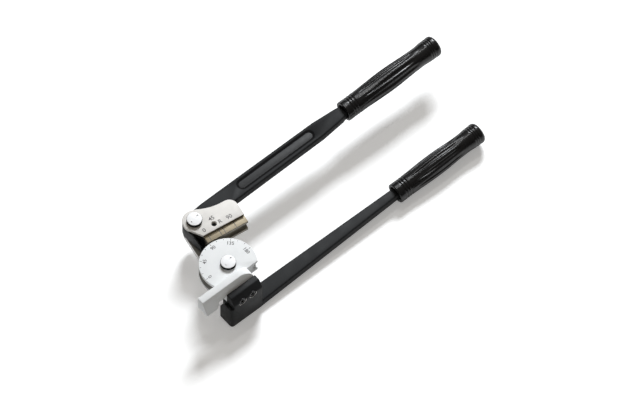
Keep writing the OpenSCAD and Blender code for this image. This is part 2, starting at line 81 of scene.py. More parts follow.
def newGroup(name, inputs, outputs):
    group = bpy.data.node_groups.new(name, "ShaderNodeTree")
    for label, value in inputs.items():
        kind = socketKinds[len(value) if isinstance(value, tuple) else 1]
        group.interface.new_socket(name=label, in_out="INPUT", socket_type=kind).default_value = value
    for label in outputs:
        kind = socketKinds[4 if label == "Color" else 1]
        group.interface.new_socket(name=label, in_out="OUTPUT", socket_type=kind)
    return group, group.nodes.new("NodeGroupInput").outputs, group.nodes.new("NodeGroupOutput").inputs


def feed(tree, socket, value):  # from another node, or a plain value
    if hasattr(value, "is_output"):
        tree.links.new(value, socket)
    else:
        socket.default_value = value


def feedAll(tree, sockets, values):
    for label, value in values.items():
        feed(tree, sockets[label], value)


def mathNode(tree, operation, first, second=0.0):
    node = tree.nodes.new("ShaderNodeMath")
    node.operation = operation
    feed(tree, node.inputs[0], first)
    feed(tree, node.inputs[1], second)
    return node.outputs[0]


def vectorNode(tree, operation, first, second=None):
    node = tree.nodes.new("ShaderNodeVectorMath")
    node.operation = operation
    feed(tree, node.inputs[0], first)
    if second is not None:
        feed(tree, node.inputs[1], second)
    return node.outputs


def rangeNode(tree, value, band, toLow=0.0, toHigh=1.0):
    node = tree.nodes.new("ShaderNodeMapRange")
    feedAll(tree, node.inputs, {"Value": value, "From Min": band[0], "From Max": band[1],
                                "To Min": toLow, "To Max": toHigh})
    return node.outputs["Result"]


def mixColour(tree, share, first, second, blend="MIX"):
    node = tree.nodes.new("ShaderNodeMix")
    node.data_type = "RGBA"
    node.blend_type = blend
    feed(tree, node.inputs["Factor"], share)
    feed(tree, node.inputs[colourMix["first"]], first)
    feed(tree, node.inputs[colourMix["second"]], second)
    return node.outputs[colourMix["result"]]


def noiseNode(tree, vector, scale, detail, breakUp=effects["noiseBreak"]):
    node = tree.nodes.new("ShaderNodeTexNoise")
    feedAll(tree, node.inputs, {"Vector": vector, "Scale": scale, "Detail": detail, "Roughness": breakUp})
    return node.outputs["Fac"]


def objectSpot(tree):
    return tree.nodes.new("ShaderNodeTexCoord").outputs["Object"]


def grainGroup():  # blotches of two close tones, and a fine grain
    group, given, out = newGroup("surfaceGrain", {
        "Base": (0.8, 0.8, 0.8, 1), "Shade": (0.7, 0.7, 0.7, 1),
        "Blotch Scale": 120.0, "Grain Scale": 2500.0, "Rough Low": 0.3, "Rough High": 0.5,
    }, ("Color", "Roughness", "Height"))
    spot = objectSpot(group)
    blotch = noiseNode(group, spot, given["Blotch Scale"], effects["blotchDetail"])
    fine = noiseNode(group, spot, given["Grain Scale"], effects["grainDetail"])
    both = mathNode(group, "ADD", mathNode(group, "MULTIPLY", blotch, effects["blotchShare"]),
                    mathNode(group, "MULTIPLY", fine, effects["grainShare"]))
    share = rangeNode(group, both, effects["toneBand"])
    colour = mixColour(group, share, given["Base"], given["Shade"])
    rough = rangeNode(group, both, effects["toneBand"], given["Rough Low"], given["Rough High"])
    feedAll(group, out, {"Color": colour, "Roughness": rough, "Height": fine})
    return group


def wearGroup():  # rubbed edges, broken up by noise
    group, given, out = newGroup("edgeWear", {
        "Color": (0.1, 0.1, 0.1, 1), "Worn": (0.4, 0.4, 0.4, 1), "Roughness": 0.4, "Worn Roughness": 0.3,
        "Amount": 0.5,
    }, ("Color", "Roughness"))
    softened = group.nodes.new("ShaderNodeBevel")
    softened.samples = effects["wearSamples"]
    softened.inputs["Radius"].default_value = effects["wearReach"]
    plain = group.nodes.new("ShaderNodeNewGeometry").outputs["Normal"]
    facing = vectorNode(group, "DOT_PRODUCT", softened.outputs["Normal"], plain)["Value"]
    edge = rangeNode(group, facing, effects["wearBand"])
    broken = noiseNode(group, objectSpot(group), effects["patchScale"], effects["patchDetail"])
    patchy = rangeNode(group, broken, effects["patchBand"])
    mask = mathNode(group, "MULTIPLY", mathNode(group, "MULTIPLY", edge, patchy), given["Amount"])
    colour = mixColour(group, mask, given["Color"], given["Worn"])
    gap = mathNode(group, "SUBTRACT", given["Worn Roughness"], given["Roughness"])
    rough = mathNode(group, "ADD", given["Roughness"], mathNode(group, "MULTIPLY", gap, mask))
    feedAll(group, out, {"Color": colour, "Roughness": rough})
    return group


def strokesGroup():  # straight machining strokes along one direction
    group, given, out = newGroup("machinedStrokes", {"Turn": (0.0, 0.0, 0.0), "Scale": 60.0}, ("Stroke",))
    place = group.nodes.new("ShaderNodeMapping")
    feedAll(group, place.inputs, {"Vector": objectSpot(group), "Rotation": given["Turn"],
                                  "Scale": effects["strokeStretch"]})
    stroke = noiseNode(group, place.outputs["Vector"], given["Scale"], effects["strokeDetail"],
                       effects["strokeBreak"])
    feed(group, out["Stroke"], stroke)
    return group


def latheGroup():  # fine rings about an upright axis
    group, given, out = newGroup("latheRings", {"Axis": (0.0, 0.0, 0.0), "Rings": 14000.0}, ("Ring",))
    away = vectorNode(group, "SUBTRACT", objectSpot(group), given["Axis"])[0]
    flat = vectorNode(group, "MULTIPLY", away, (1.0, 1.0, 0.0))[0]  # heights count for nothing
    length = vectorNode(group, "LENGTH", flat)["Value"]
    wave = mathNode(group, "SINE", mathNode(group, "MULTIPLY", length, given["Rings"]))
    feed(group, out["Ring"], rangeNode(group, wave, (-1.0, 1.0)))
    return group


grain, wear, strokes, lathe = grainGroup(), wearGroup(), strokesGroup(), latheGroup()
print("shader groups ready")

# finishes: how deep each kind's bump is in metres, where a rim dulls, which strokes count
finishKinds = {"castBump": 0.0002, "strokedBump": 0.0001, "turnedBump": 0.00005, "rimBand": (0.5, 0.95),
               "strokeBand": (0.3, 0.7), "plainShine": 0.5}


def opaque(colour):
    return (*colour, 1.0)


def startFinish(name, look):
    material = bpy.data.materials.new(name)
    material.use_nodes = True
    tree = material.node_tree
    shader = tree.nodes["Principled BSDF"]
    feedAll(tree, shader.inputs, {"Metallic": look["metal"],
                                  "Specular IOR Level": look.get("shine", finishKinds["plainShine"])})
    return material, tree, shader


def placeGroup(tree, group, values):
    node = tree.nodes.new("ShaderNodeGroup")
    node.node_tree = group
    feedAll(tree, node.inputs, values)
    return node.outputs


def grained(tree, look):
    return placeGroup(tree, grain, {
        "Base": opaque(look["base"]), "Shade": opaque(look["shade"]),
        "Blotch Scale": look["blotch"], "Grain Scale": look["grain"],
        "Rough Low": look["rough"][0], "Rough High": look["rough"][1],
    })


def rubbed(tree, look, colour, rough):
    return placeGroup(tree, wear, {
        "Color": colour, "Roughness": rough, "Worn": opaque(look["worn"]),
        "Worn Roughness": look["wornRough"], "Amount": look["wear"],
    })


def bumpFrom(tree, shader, height, strength, depth):
    bump = tree.nodes.new("ShaderNodeBump")
    feedAll(tree, bump.inputs, {"Strength": strength, "Distance": depth, "Height": height})
    feed(tree, shader.inputs["Normal"], bump.outputs["Normal"])


def castFinish(name, look):  # grained metal or paint with rubbed edges
    material, tree, shader = startFinish(name, look)
    body = grained(tree, look)
    edge = rubbed(tree, look, body["Color"], body["Roughness"])
    rough = edge["Roughness"]
    if "rim" in look:  # gloss dulls towards the outline
        facing = tree.nodes.new("ShaderNodeLayerWeight").outputs["Facing"]
        duller = rangeNode(tree, facing, finishKinds["rimBand"], 0.0, look["rim"])
        rough = mathNode(tree, "ADD", rough, duller)
    feedAll(tree, shader.inputs, {"Base Color": edge["Color"], "Roughness": rough})
    bumpFrom(tree, shader, body["Height"], look["bump"], finishKinds["castBump"])
    return material


def strokedFinish(name, look):  # machined metal with straight strokes
    material, tree, shader = startFinish(name, look)
    body = grained(tree, look)
    turn = (0.0, 0.0, math.radians(look["turn"]))
    lines = placeGroup(tree, strokes, {"Turn": turn, "Scale": look["strokes"]})
    tone = tree.nodes.new("ShaderNodeValToRGB")
    for stop, place in zip(tone.color_ramp.elements, finishKinds["strokeBand"]):
        stop.position = place
    tone.color_ramp.elements[0].color = opaque((look["strokeTone"],) * 3)
    feed(tree, tone.inputs["Fac"], lines["Stroke"])
    darker = mixColour(tree, 1.0, body["Color"], tone.outputs["Color"], "MULTIPLY")
    edge = rubbed(tree, look, darker, body["Roughness"])
    feedAll(tree, shader.inputs, {"Base Color": edge["Color"], "Roughness": edge["Roughness"]})
    bumpFrom(tree, shader, lines["Stroke"], look["bump"], finishKinds["strokedBump"])
    return material


def turnedFinish(name, look, axis):  # lathe-turned steel
    material, tree, shader = startFinish(name, look)
    body = grained(tree, look)
    rings = placeGroup(tree, lathe, {"Axis": axis, "Rings": look["rings"]})
    feedAll(tree, shader.inputs, {"Base Color": body["Color"], "Roughness": body["Roughness"]})
    bumpFrom(tree, shader, rings["Ring"], look["bump"], finishKinds["turnedBump"])
    return material


castLooks = {
    "castSilver": {"base": (0.90, 0.915, 0.92), "shade": (0.865, 0.88, 0.89),
                   "metal": 0.0, "shine": 0.2, "blotch": 90.0, "grain": 3200.0, "rough": (0.56, 0.7),
                   "worn": (0.93, 0.94, 0.94), "wornRough": 0.45, "wear": 0.5, "bump": 0.12},
    # painted shade: darker metal finish for the wheel's groove, standing in for the shade and dark
    # reflections in it
    "groovePaintedShade": {"base": (0.40, 0.40, 0.395), "shade": (0.32, 0.32, 0.315),
                    "metal": 0.75, "blotch": 120.0, "grain": 2800.0, "rough": (0.32, 0.45),
                    "worn": (0.6, 0.6, 0.6), "wornRough": 0.25, "wear": 0.4, "bump": 0.08},
    "blackPaint": {"base": (0.014, 0.015, 0.016), "shade": (0.021, 0.022, 0.0235),
                   "metal": 0.0, "shine": 0.12, "blotch": 70.0, "grain": 1500.0, "rough": (0.46, 0.6),
                   "worn": (0.06, 0.06, 0.062), "wornRough": 0.4, "wear": 0.6, "bump": 0.22},
    # painted shade: near-black finish for the pin heads' side walls and the panel recess's sides
    "paintedShadeBlack": {"base": (0.003, 0.003, 0.0032), "shade": (0.005, 0.005, 0.0052),
                  "metal": 0.0, "shine": 0.08, "blotch": 70.0, "grain": 1500.0, "rough": (0.6, 0.7),
                  "worn": (0.01, 0.01, 0.01), "wornRough": 0.5, "wear": 0.2, "bump": 0.2},
    "gripPlastic": {"base": (0.004, 0.004, 0.0045), "shade": (0.007, 0.007, 0.0075),
                    "metal": 0.0, "shine": 0.4, "blotch": 60.0, "grain": 900.0, "rough": (0.25, 0.265),
                    "worn": (0.012, 0.012, 0.013), "wornRough": 0.28, "wear": 0.0, "bump": 0.002,
                    "rim": 0.5},
    "blackOxide": {"base": (0.018, 0.018, 0.02), "shade": (0.03, 0.03, 0.032),
                   "metal": 0.7, "blotch": 300.0, "grain": 3000.0, "rough": (0.3, 0.45),
                   "worn": (0.2, 0.2, 0.2), "wornRough": 0.25, "wear": 0.5, "bump": 0.1},
    "markInk": {"base": (0.10, 0.095, 0.10), "shade": (0.17, 0.165, 0.17),
                "metal": 0.0, "blotch": 700.0, "grain": 5000.0, "rough": (0.6, 0.75),
                "worn": (0.3, 0.3, 0.3), "wornRough": 0.6, "wear": 0.2, "bump": 0.05},
    "bushBronze": {"base": (0.46, 0.33, 0.14), "shade": (0.36, 0.25, 0.1),
                   "metal": 0.9, "blotch": 400.0, "grain": 3500.0, "rough": (0.35, 0.5),
                   "worn": (0.6, 0.48, 0.25), "wornRough": 0.25, "wear": 0.4, "bump": 0.15},
    "panelPaint": {"base": (0.032, 0.033, 0.035), "shade": (0.05, 0.051, 0.053),
                   "metal": 0.0, "shine": 0.25, "blotch": 160.0, "grain": 1300.0, "rough": (0.5, 0.66),
                   "worn": (0.1, 0.1, 0.1), "wornRough": 0.45, "wear": 0.3, "bump": 0.5},
}
strokedLooks = {
    "coverSatin": {"base": (0.76, 0.735, 0.705), "shade": (0.71, 0.69, 0.66),
                   "metal": 0.05, "shine": 0.25, "blotch": 80.0, "grain": 2600.0, "rough": (0.48, 0.6),
                   "turn": 8.0, "strokes": 55.0, "strokeTone": 0.95,
                   "worn": (0.88, 0.87, 0.86), "wornRough": 0.28, "wear": 0.5, "bump": 0.06},
    "shoeBronze": {"base": (0.46, 0.395, 0.28), "shade": (0.39, 0.33, 0.23),
                   "metal": 0.25, "shine": 0.3, "blotch": 110.0, "grain": 2400.0, "rough": (0.42, 0.56),
                   "turn": 8.0, "strokes": 70.0, "strokeTone": 0.84,
                   "worn": (0.72, 0.65, 0.5), "wornRough": 0.26, "wear": 0.6, "bump": 0.12},
    # painted shade: darker finish for the shoe's sides and groove and the cover plate's side over the ledge
    "shoePaintedShade": {"base": (0.20, 0.18, 0.14), "shade": (0.14, 0.125, 0.10),
                  "metal": 0.5, "blotch": 110.0, "grain": 2400.0, "rough": (0.36, 0.5),
                  "turn": 8.0, "strokes": 70.0, "strokeTone": 0.8,
                  "worn": (0.55, 0.5, 0.38), "wornRough": 0.28, "wear": 0.5, "bump": 0.12},
    "linkSteel": {"base": (0.62, 0.61, 0.60), "shade": (0.52, 0.51, 0.50),
                  "metal": 0.6, "blotch": 90.0, "grain": 2400.0, "rough": (0.34, 0.5),
                  "turn": 82.0, "strokes": 45.0, "strokeTone": 0.85,
                  "worn": (0.8, 0.8, 0.79), "wornRough": 0.25, "wear": 0.5, "bump": 0.1},
}
turnedLook = {"base": (0.8, 0.8, 0.805), "shade": (0.76, 0.76, 0.765),
              "metal": 0.1, "shine": 0.3, "blotch": 200.0, "grain": 3000.0, "rough": (0.4, 0.5),
              "rings": 13000.0, "bump": 0.02}

paints = {name: castFinish(name, look) for name, look in castLooks.items()}
paints.update({name: strokedFinish(name, look) for name, look in strokedLooks.items()})
for name, place in (("wheelTurned", wheelPlace), ("shoeTurned", pinPlace)):
    paints[name] = turnedFinish(name, turnedLook, tuple((toMetres @ place).translation))
print("finishes ready:", len(paints))

# modelling helpers, all in mm until a piece is kept
making = {"merge": 0.0005, "touch": 0.01, "cutOver": 1.0, "holeSteps": 48, "markRise": 0.08}
lettering = {"rise": 0.05, "bolder": 0.07, "curveSteps": 3, "smooth": 30}
over = making["cutOver"]  # how far cutters reach past a face


def arcPoints(middle, radius, start, end, steps):
    turns = [math.radians(start + (end - start) * k / steps) for k in range(steps + 1)]
    return [(middle[0] + radius * math.cos(t), middle[1] + radius * math.sin(t)) for t in turns]


def ringPoints(middle, radius, count):
    return arcPoints(middle, radius, 0, 360 - 360 / count, count - 1)


def hexagon(flats):
    return ringPoints((0, 0), flats / 2 / math.cos(math.pi / 6), 6)


def oblong(left, right, near, far):
    return [(left, near), (right, near), (right, far), (left, far)]


def raised(outline, floor, roof):  # upright solid from a plan outline
    shape = bmesh.new()
    base = shape.faces.new([shape.verts.new((x, y, floor)) for x, y in outline])
    made = bmesh.ops.extrude_face_region(shape, geom=[base])
    lifted = [part for part in made["geom"] if isinstance(part, bmesh.types.BMVert)]
    bmesh.ops.translate(shape, verts=lifted, vec=(0, 0, roof - floor))
    bmesh.ops.recalc_face_normals(shape, faces=shape.faces)
    return shape


def lathed(profile, steps, closed=False):  # round solid from (radius, height) points
    shape = bmesh.new()
    verts = [shape.verts.new((radius, 0, height)) for radius, height in profile]
    pairs = list(zip(verts, verts[1:])) + ([(verts[-1], verts[0])] if closed else [])
    edges = [shape.edges.new(pair) for pair in pairs]
    bmesh.ops.spin(shape, geom=verts + edges, cent=(0, 0, 0), axis=(0, 0, 1), angle=math.tau,
                   steps=steps, use_merge=True)
    bmesh.ops.remove_doubles(shape, verts=shape.verts, dist=making["merge"])
    bmesh.ops.recalc_face_normals(shape, faces=shape.faces)
    return shape


def rod(radius, floor, roof, steps=making["holeSteps"]):
    return lathed([(0, floor), (radius, floor), (radius, roof), (0, roof)], steps)


def drill(radius, depth, lip):  # cutter for a hole down from height 0, with a broken edge
    mouth = radius + lip
    return lathed([(0, -depth), (radius, -depth), (radius, -lip), (mouth, 0), (mouth + over, over),
                   (0, over)], making["holeSteps"])


def rounded(shape, width, segments=3, sharper=30, where=None):  # edges past an angle in degrees
    edges = [edge for edge in shape.edges
             if len(edge.link_faces) == 2 and edge.calc_face_angle(0) > math.radians(sharper)
             and (where is None or where(edge))]
    bmesh.ops.bevel(shape, geom=edges, offset=width, offset_type="OFFSET", affect="EDGES", segments=segments,
                    profile=0.5, clamp_overlap=True, material=-1)
    return shape


def put(shape, place):
    bmesh.ops.transform(shape, matrix=place, verts=shape.verts)
    return shape


def gathered(shapes):  # several solids in one mesh
    whole = bmesh.new()
    for shape in shapes:
        mesh = bpy.data.meshes.new("part")
        shape.to_mesh(mesh)
        shape.free()
        whole.from_mesh(mesh)
        bpy.data.meshes.remove(mesh)
    return whole


def loose(shape):
    mesh = bpy.data.meshes.new("loose")
    shape.to_mesh(mesh)
    shape.free()
    thing = bpy.data.objects.new("loose", mesh)
    bpy.context.scene.collection.objects.link(thing)
    return thing


def combined(shape, others, how):  # joins or cuts solids
    base = loose(shape)
    tools = [loose(other) for other in others]
    for tool in tools:
        step = base.modifiers.new("combine", "BOOLEAN")
        step.operation, step.solver, step.object = how, "MANIFOLD", tool
    result = bmesh.new()
    result.from_object(base, bpy.context.evaluated_depsgraph_get())
    for thing in [base, *tools]:
        mesh = thing.data
        bpy.data.objects.remove(thing)
        bpy.data.meshes.remove(mesh)
    bmesh.ops.remove_doubles(result, verts=result.verts, dist=making["merge"])
    return result


def writeInto(shape, text, size, place):
    curve = bpy.data.curves.new("digits", "FONT")
    curve.body, curve.size = text, size
    curve.extrude, curve.offset = lettering["rise"], lettering["bolder"]
    curve.align_x, curve.align_y = "CENTER", "CENTER"
    curve.resolution_u = lettering["curveSteps"]
    holder = bpy.data.objects.new("digits", curve)
    bpy.context.scene.collection.objects.link(holder)
    mesh = bpy.data.meshes.new_from_object(holder.evaluated_get(bpy.context.evaluated_depsgraph_get()))
    mesh.transform(place)
    shape.from_mesh(mesh)
    bpy.data.objects.remove(holder)
    bpy.data.curves.remove(curve)
    bpy.data.meshes.remove(mesh)


def keep(name, shape, place, paint, body, stands=(), smooth=35, second=None):
    put(shape, toMetres @ place)
    bmesh.ops.recalc_face_normals(shape, faces=shape.faces)
    mesh = bpy.data.meshes.new(name)
    shape.to_mesh(mesh)
    shape.free()
    for finish in (paint, second) if second else (paint,):
        mesh.materials.append(paints[finish])
    for face in mesh.polygons:
        face.use_smooth = True
    mesh.set_sharp_from_angle(angle=math.radians(smooth))
    piece = bpy.data.objects.new(name, mesh)
    bpy.context.scene.collection.objects.link(piece)
    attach(piece, body)
    if stands:
        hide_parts(*stands)


# form wheel and hook arm
wheel = {"rim": 38.0, "edge": 0.7, "edgeSteps": 4, "lipOut": 6.7, "lipIn": 6.5, "lipDrop": 0.12,
         "grooveArc": (93, 267), "grooveSteps": 28, "around": 144,
         "cut": -20.7, "cutEdge": 0.6, "cutMerge": 0.0001, "shadeReach": 0.15}
rim, rimEdge = wheel["rim"], wheel["edge"]
groove = arcPoints((layout["bendLine"], mid), layout["grooveRadius"], *wheel["grooveArc"],
                   wheel["grooveSteps"])
wheelProfile = [(layout["pinBore"], top)]
wheelProfile += arcPoints((rim - rimEdge, top - rimEdge), rimEdge, 90, 0, wheel["edgeSteps"])
wheelProfile += [(rim, mid + wheel["lipOut"]), (rim - wheel["lipDrop"], mid + wheel["lipIn"])]
wheelProfile += groove
wheelProfile += [(rim - wheel["lipDrop"], mid - wheel["lipIn"]), (rim, mid - wheel["lipOut"])]
wheelProfile += arcPoints((rim - rimEdge, low + rimEdge), rimEdge, 0, -90, wheel["edgeSteps"])
wheelProfile += [(layout["pinBore"], low)]
disc = lathed(wheelProfile, wheel["around"], closed=True)
sliced = bmesh.ops.bisect_plane(disc, geom=disc.verts[:] + disc.edges[:] + disc.faces[:],
                                dist=wheel["cutMerge"], plane_co=(0, wheel["cut"], 0), plane_no=(0, -1, 0),
                                clear_outer=True)
cutEdges = [part for part in sliced["geom_cut"] if isinstance(part, bmesh.types.BMEdge)]
bmesh.ops.edgeloop_fill(disc, edges=cutEdges)


def onCut(edge):
    return all(abs(vert.co.y - wheel["cut"]) < making["touch"] for vert in edge.verts)


rounded(disc, wheel["cutEdge"], segments=2, sharper=40, where=onCut)

arm = {"lipEnd": -66.95, "lipIn": -44.95, "lipLow": 48.0, "lead": 4.0, "top": 70.0, "passTop": 55.85,
       "roundStart": -5.65, "roundRadius": 24.2, "roundTo": 35.9, "roundSteps": 14, "end": 13.95,
       "back": -19.0, "front": -29.0, "slant": 23.6, "edge": 0.9}
armSide = [(arm["lipEnd"], arm["lipLow"]), (arm["lipEnd"], arm["top"])]
armSide += arcPoints((arm["roundStart"], arm["top"] - arm["roundRadius"]), arm["roundRadius"],
                     90, arm["roundTo"], arm["roundSteps"])
armSide += [(arm["end"], arm["passTop"]), (arm["lipIn"], arm["passTop"]),
            (arm["lipIn"], arm["lipLow"] + arm["lead"]), (arm["lipIn"] - arm["lead"], arm["lipLow"])]
hookArm = put(raised(armSide, -arm["back"], -arm["front"]), standUp)
for vert in hookArm.verts:  # the front leans out below
    if vert.co.y < arm["front"] + making["touch"]:
        vert.co.y -= (arm["top"] - vert.co.z) * math.tan(math.radians(arm["slant"]))
rounded(hookArm, arm["edge"], sharper=25)
foot = {"x": (-31.25, 13.95), "y": (-34.0, -18.0), "z": (42.15, 58.5), "edge": 0.5}
footBlock = rounded(raised(oblong(*foot["x"], *foot["y"]), *foot["z"]), foot["edge"], segments=2)
casting = combined(disc, [hookArm, footBlock], "UNION")
for face in casting.faces:  # painted shade: the groove gets a darker finish than the cast faces, standing in for its shade and dark reflections
    spot = face.calc_center_median()
    reach = math.hypot(math.hypot(spot.x, spot.y) - layout["bendLine"], spot.z - mid)
    onGroove = abs(reach - layout["grooveRadius"]) < wheel["shadeReach"]
    face.material_index = int(onGroove and abs(spot.z - mid) < layout["grooveRadius"])
keep("formWheel", casting, wheelPlace, "castSilver", "base", ["form_wheel"],
     second="groovePaintedShade")
print("form wheel made")

# scale round the wheel's face: ticks and bend angles
dial = {"tickOut": 37.0, "tickIn": 35.2, "longIn": 34.2, "width": 0.6, "digits": 6.8, "digitRadius": 30.2,
        "step": 15, "last": 180, "angles": (0, 45, 90, 135, 180)}
scaleMarks = []
for bend in range(0, dial["last"] + 1, dial["step"]):
    inner = dial["longIn"] if bend in dial["angles"] else dial["tickIn"]
    plan = oblong(inner, dial["tickOut"], -dial["width"] / 2, dial["width"] / 2)
    scaleMarks.append(put(raised(plan, top, top + making["markRise"]), turned("Z", 180 - bend)))
scale = gathered(scaleMarks)
for bend in dial["angles"]:
    place = turned("Z", 90 - bend) @ moved(0, dial["digitRadius"], top + lettering["rise"])
    writeInto(scale, str(bend), dial["digits"], place)
keep("wheelScale", scale, wheelPlace, "markInk", "base", smooth=lettering["smooth"])
print("wheel scale made")

# pivot pins with two spanner dimples
pin = {"radius": 6.0, "head": 10.2, "headHeight": 5.0, "edge": 0.8, "edgeSteps": 5, "underEdge": 0.3,
       "end": 16.8, "endChamfer": 1.0, "around": 80, "wallSlope": 0.8,
       "dimple": 0.95, "dimpleDeep": 1.1, "dimpleLip": 0.25, "dimpleReach": 6.2, "turn": 20}


def pivotPin(name, headSeat, place, paint, body, node):
    crown = headSeat + pin["headHeight"]
    shank = [(0, pin["end"]), (pin["radius"] - pin["endChamfer"], pin["end"]),
             (pin["radius"], pin["end"] + pin["endChamfer"]), (pin["radius"], headSeat),
             (pin["head"] - pin["underEdge"], headSeat), (pin["head"], headSeat + pin["underEdge"])]
    edge = pin["edge"]
    shank += arcPoints((pin["head"] - edge, crown - edge), edge, 0, 90, pin["edgeSteps"])
    shank += [(0, crown)]
    holes = [put(drill(pin["dimple"], pin["dimpleDeep"], pin["dimpleLip"]),
                 turned("Z", pin["turn"] + turn) @ moved(pin["dimpleReach"], 0, crown)) for turn in (0, 180)]
    whole = combined(lathed(shank, pin["around"]), holes, "DIFFERENCE")
    whole.normal_update()
    for face in whole.faces:  # painted shade: the head's side wall gets a near-black finish
        spot = face.calc_center_median()
        outer = math.hypot(spot.x, spot.y) > pin["head"] - edge
        face.material_index = int(outer and abs(face.normal.z) < pin["wallSlope"])
    keep(name, whole, place, paint, body, [node], second="paintedShadeBlack")


pivotPin("wheelPin", top, wheelPlace, "wheelTurned", "base", "wheel_pin")
pivotPin("shoePin", top + layout["coverThick"], pinPlace, "shoeTurned", "lever", "shoe_pin")

# washers and nuts under the link
stack = {"washer": 12.5, "thrust": (37.0, 38.0), "under": (26.3, 27.8), "edge": 0.25, "around": 72}
nut = {"z": (18.3, 26.3), "flats": 19.0, "crownIn": 1.6, "crownOut": 0.4, "crownDrop": 1.15,
       "mouth": 7.4, "mouthBelow": 0.4, "mouthTop": 0.95}


def flatRing(floor, roof):
    outer, inner, edge = stack["washer"], layout["pinBore"], stack["edge"]
    return lathed([(inner, floor + edge), (inner + edge, floor), (outer - edge, floor),
                   (outer, floor + edge), (outer, roof - edge), (outer - edge, roof), (inner + edge, roof),
                   (inner, roof - edge)], stack["around"], closed=True)


def hexNut():
    corner = nut["flats"] / 2 / math.cos(math.pi / 6)
    floor, roof = nut["z"]
    body = raised(hexagon(nut["flats"]), floor, roof)
    inner, outer, drop = corner - nut["crownIn"], corner + nut["crownOut"], nut["crownDrop"]
    crown = lathed([(0, floor), (inner, floor), (outer, floor + drop), (outer, roof - drop), (inner, roof),
                    (0, roof)], stack["around"])
    body = combined(body, [crown], "INTERSECT")
    bore = layout["pinBore"]
    hole = lathed([(0, floor - over), (nut["mouth"], floor - nut["mouthBelow"]),
                   (bore, floor + nut["mouthTop"]), (bore, roof + over), (0, roof + over)],
                  making["holeSteps"])
    return combined(body, [hole], "DIFFERENCE")


for side, place, body, paint in (("wheel", wheelPlace, "base", "wheelTurned"),
                                 ("shoe", pinPlace, "lever", "shoeTurned")):
    keep(side + "Washer", flatRing(*stack["thrust"]), place, "blackOxide", body, [side + "_washer"])
    keep(side + "NutWasher", flatRing(*stack["under"]), place, paint, body, [side + "_nut_washer"])
    keep(side + "Nut", hexNut(), place, paint, body, [side + "_nut"])
print("pins, washers and nuts made")

# link plate
link = {"hub": 22.0, "nose": 14.5, "hubSteps": 60, "noseSteps": 40, "bore": 8.6, "boreSteps": 64,
        "edge": 0.9}
pinX, pinY = layout["shoePin"]
linkLength = math.hypot(pinX, pinY)
lean = math.degrees(math.acos((link["hub"] - link["nose"]) / linkLength))
pear = arcPoints((0, 0), link["hub"], lean, 360 - lean, link["hubSteps"])
pear += arcPoints((linkLength, 0), link["nose"], -lean, lean, link["noseSteps"])
linkTop, linkFloor = layout["linkTop"], layout["linkTop"] - layout["linkThick"]
plate = rounded(raised(pear, linkFloor, linkTop), link["edge"], sharper=60)
bores = [put(rod(link["bore"], linkFloor - over, linkTop + over, link["boreSteps"]), moved(x, 0, 0))
         for x in (0, linkLength)]
plate = combined(plate, bores, "DIFFERENCE")
linkTurn = math.degrees(math.atan2(pinY, pinX)) + layout["shoeTurn"]
keep("linkPlate", plate, wheelPlace @ turned("Z", linkTurn), "linkSteel", "link", ["link_plate"])
print("link made")

# fixed handle: block, bar and screw seats
block = {"x": (-26.0, 26.0), "half": 12.0, "seat": 42.15, "stepX": -21.25, "stepY": 4.0, "ridge": 49.0,
         "top": 59.0, "flat": 9.0, "corner": 8.0, "overlap": 6.0,
         "edge": 1.3, "endRound": 4.5, "endSteps": 6,
         "screwX": (-7.15, 9.85), "screwZ": 47.15, "seatRadius": 5.5, "seatDeep": 7.0, "seatLip": 0.5,
         "rubbed": (0.05, 0.45)}
half, seat, stepY = block["half"], block["seat"], block["stepY"]
endX, frontX = block["x"]
lowEnd = [(-half, 0), (half, 0), (half, seat - 2 * block["corner"]), (half - block["corner"], seat),
          (-half, seat)]
topMain = [(-half, seat - block["overlap"]), (stepY, seat - block["overlap"]), (stepY, block["top"]),
           (stepY - block["flat"], block["top"]), (-half, block["ridge"])]


def onEndCorner(edge):
    near = making["touch"]
    return all(vert.co.x < endX + near and vert.co.y < near - half for vert in edge.verts)


endSolid = put(raised(lowEnd, endX, 0.0), endView)
rounded(endSolid, block["endRound"], block["endSteps"], sharper=20, where=onEndCorner)
rounded(endSolid, block["edge"], sharper=20)
mainSolid, topSolid = [rounded(put(raised(plan, block["stepX"], frontX), endView), block["edge"], sharper=20)
                       for plan in (oblong(-half, half, 0, seat), topMain)]
forging = combined(mainSolid, [endSolid, topSolid], "UNION")
lowerBar = {"length": 240.0, "root": 24.0, "end": 12.5, "edge": 2.2}
barPlan = [(0, -lowerBar["root"] / 2), (lowerBar["length"], -lowerBar["end"] / 2),
           (lowerBar["length"], lowerBar["end"] / 2), (0, lowerBar["root"] / 2)]
barHalf = layout["barHalf"]
lowerArm = put(rounded(raised(barPlan, -barHalf, barHalf), lowerBar["edge"], segments=4), lowerBarPlace)
forging = combined(forging, [lowerArm], "UNION")
seats = [put(drill(block["seatRadius"], block["seatDeep"], block["seatLip"]),
             moved(x, -half, block["screwZ"]) @ turned("X", 90)) for x in block["screwX"]]
forging = combined(forging, seats, "DIFFERENCE")
for face in forging.faces:  # paint is rubbed off the lips of the screw seats
    spot = face.calc_center_median()
    reach = min(math.hypot(spot.x - x, spot.z - block["screwZ"]) for x in block["screwX"])
    onLip = block["rubbed"][0] < reach - block["seatRadius"] < block["rubbed"][1]
    face.material_index = int(onLip and spot.y < 0)
keep("lowerHandle", forging, blockPlace, "blackPaint", "base", ["lower_handle"],
     second="linkSteel")
print("fixed handle made")

# socket screws in the block and in the cover's hole
capScrew = {"head": 5.0, "height": 6.0, "edge": 0.6, "flats": 5.0, "deep": 3.0,
            "shank": 3.0, "length": 19.0, "sunk": 1.0}
coverScrew = {"head": 3.4, "height": 4.0, "edge": 0.5, "flats": 3.4, "deep": 2.0,
              "shank": 2.0, "length": 4.0, "sunk": 1.0}
screwShape = {"tip": 0.4, "mouthDeep": 0.5, "mouthRise": 0.7, "around": 64}


